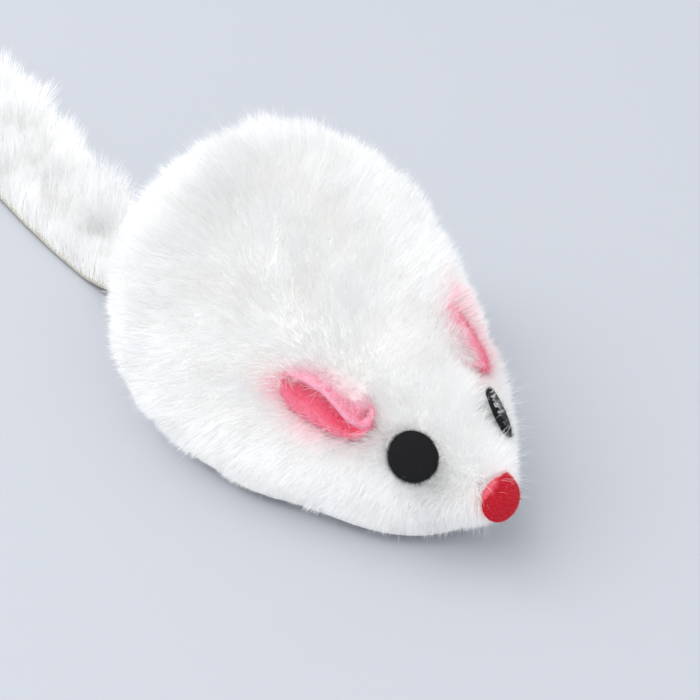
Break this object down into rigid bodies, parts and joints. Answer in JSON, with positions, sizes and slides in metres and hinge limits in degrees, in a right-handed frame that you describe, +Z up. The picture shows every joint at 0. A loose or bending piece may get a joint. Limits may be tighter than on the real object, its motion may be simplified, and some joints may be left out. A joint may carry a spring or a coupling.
{
  "type": "clockwork mouse",
  "caption": "Small plush toy mouse with felt ears, eyes and nose and a flat plush tail, driven by a key-wound spring motor and wheels under its plastic shell.",
  "frame": {"origin": "on the floor under the middle of the plush body, in the plane of symmetry, straight below the drive axle", "axes": "the mouse faces -Y, +X is its left side, +Z is up and the tail runs out along +Y"},
  "size_m": [0.0456, 0.1242, 0.0344],
  "materials": {
    "white_plush": "long soft pile",
    "pink_felt": "pressed felt",
    "red_felt": "pressed felt",
    "black_felt": "pressed felt",
    "shell_plastic": "moulded",
    "gear_plastic": "moulded",
    "wheel_plastic": "moulded",
    "key_plastic": "moulded",
    "tyre_rubber": "matt",
    "plate_steel": "zinc plated",
    "spring_steel": "blued",
    "gear_brass": "stamped"
  },
  "bodies": {
    "chassis": {"fur_body": "white_plush", "ear_left": "pink_felt", "ear_right": "pink_felt", "eye_left": "black_felt", "eye_right": "black_felt", "nose_patch": "red_felt", "shell_upper": "shell_plastic", "base_plate": "shell_plastic", "base_screws": "plate_steel", "motor_plate_left": "plate_steel", "motor_plate_right": "plate_steel", "motor_pillars": "plate_steel", "mainspring": "spring_steel"},
    "drive_wheels": {"drive_axle": "plate_steel", "axle_pinion": "gear_plastic", "drive_wheel_left": "wheel_plastic", "drive_wheel_right": "wheel_plastic", "drive_tyre_left": "tyre_rubber", "drive_tyre_right": "tyre_rubber"},
    "second_idler": {"second_idler_gear": "gear_plastic", "second_idler_shaft": "plate_steel"},
    "first_idler": {"first_idler_gear": "gear_plastic", "first_idler_shaft": "plate_steel"},
    "great_wheel": {"great_gear": "gear_brass", "click_spring": "spring_steel"},
    "winding": {"winding_arbor": "plate_steel", "ratchet_wheel": "plate_steel", "winding_key": "key_plastic"},
    "click": {"click_pawl": "plate_steel"},
    "roller": {"roller_pin": "plate_steel", "rear_roller": "wheel_plastic"},
    "tail": {"tail_strip": "white_plush"}
  },
  "joints": [
    {"name": "drive_axle_spin", "type": "hinge", "parent": "chassis", "child": "drive_wheels", "pos_m": [0, 0, 0.0075], "axis": [1, 0, 0], "continuous": true},
    {"name": "second_idler_spin", "type": "hinge", "parent": "chassis", "child": "second_idler", "pos_m": [0, -0.00127, 0.01499], "axis": [1, 0, 0], "continuous": true},
    {"name": "first_idler_spin", "type": "hinge", "parent": "chassis", "child": "first_idler", "pos_m": [0, 0.00606, 0.017], "axis": [1, 0, 0], "continuous": true},
    {"name": "great_gear_spin", "type": "hinge", "parent": "chassis", "child": "great_wheel", "pos_m": [0, 0.0125, 0.011], "axis": [1, 0, 0], "continuous": true},
    {"name": "key_wind", "type": "hinge", "parent": "great_wheel", "child": "winding", "pos_m": [0, 0.0125, 0.011], "axis": [1, 0, 0], "range_deg": [0, 1440], "deforming": ["mainspring"]},
    {"name": "click_lift", "type": "hinge", "parent": "great_wheel", "child": "click", "pos_m": [0, 0.0178, 0.011], "axis": [1, 0, 0], "range_deg": [-8, 0], "stiffness_Nm_per_rad": 0.0002, "springref_deg": 11.46, "deforming": ["click_spring"]},
    {"name": "rear_roller_spin", "type": "hinge", "parent": "chassis", "child": "roller", "pos_m": [0, 0.0188, 0.003], "axis": [1, 0, 0], "continuous": true},
    {"name": "tail_swing", "type": "hinge", "parent": "chassis", "child": "tail", "pos_m": [0, 0.0338, 0.006], "axis": [0, 0, 1], "range_deg": [-25, 25]}
  ],
  "couplings": [
    {"joint": "second_idler_spin", "follows": "drive_axle_spin", "ratio": -0.46154},
    {"joint": "first_idler_spin", "follows": "drive_axle_spin", "ratio": 0.21302},
    {"joint": "great_gear_spin", "follows": "drive_axle_spin", "ratio": -0.079882}
  ]
}
